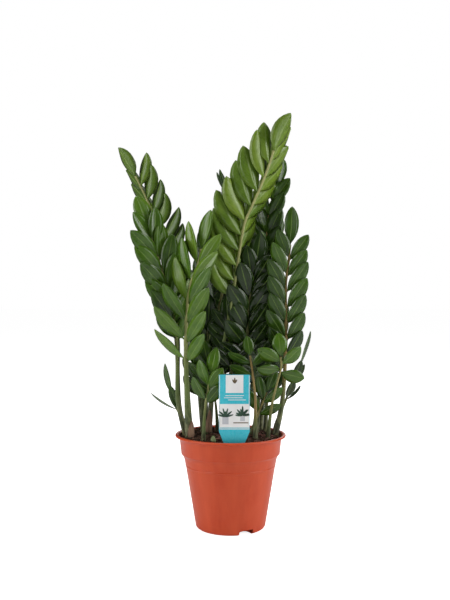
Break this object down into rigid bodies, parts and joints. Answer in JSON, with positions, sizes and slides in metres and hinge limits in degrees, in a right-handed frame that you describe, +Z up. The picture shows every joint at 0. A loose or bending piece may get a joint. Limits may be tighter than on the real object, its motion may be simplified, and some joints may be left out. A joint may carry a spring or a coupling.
{
  "type": "potted zz plant",
  "caption": "ZZ plant with upright fronds of glossy leaflets, growing from rhizomes in a tapered plastic grower's pot with a care label.",
  "frame": {"origin": "middle of the round foot in the pot's floor, on the surface that the pot stands on", "axes": "+Z up along the pot's axis; -Y is the side that carries the care label; +X to the right of someone who faces the label"},
  "size_m": [0.3033, 0.2131, 0.6351],
  "materials": {
    "pot": "satin",
    "soil": "matte",
    "rhizome": "matte",
    "frond": "gloss",
    "shoot": "satin",
    "sheath": "matte",
    "loose_root": "matte",
    "bark": "matte",
    "label": "gloss"
  },
  "bodies": {
    "root": {"nursery_pot": "pot", "potting_soil": "soil", "rhizome_left": "rhizome", "rhizome_centre": "rhizome", "rhizome_small": "rhizome", "rhizome_back": "rhizome", "rhizome_right": "rhizome", "rhizome_front_right": "rhizome", "frond_right_tall": "frond", "frond_left_tall": "frond", "frond_left_second": "frond", "frond_front_pale": "frond", "frond_far_right": "frond", "frond_right_second": "frond", "frond_centre_dark": "frond", "frond_edgewise": "frond", "frond_back_left": "frond", "frond_back_right": "frond", "frond_back_centre": "frond", "frond_mid_low": "frond", "frond_right_mid": "frond", "frond_back_low": "frond", "frond_front_right_low": "frond", "frond_centre_low": "frond", "frond_right_low": "frond", "frond_front_low": "frond", "frond_far_right_thin": "frond", "frond_left_low": "frond", "frond_inner_left": "frond", "frond_inner_centre": "frond", "frond_inner_right": "frond", "new_shoot": "shoot", "sheath_centre_low": "sheath", "sheath_left": "sheath", "sheath_front": "sheath", "sheath_right": "sheath", "sheath_tall": "sheath", "loose_root_1": "loose_root", "loose_root_2": "loose_root", "loose_root_3": "loose_root", "loose_root_4": "loose_root", "bark_bit_1": "bark", "bark_bit_2": "bark", "bark_bit_3": "bark", "bark_bit_4": "bark", "bark_bit_5": "bark", "care_label": "label"}
  },
  "joints": []
}
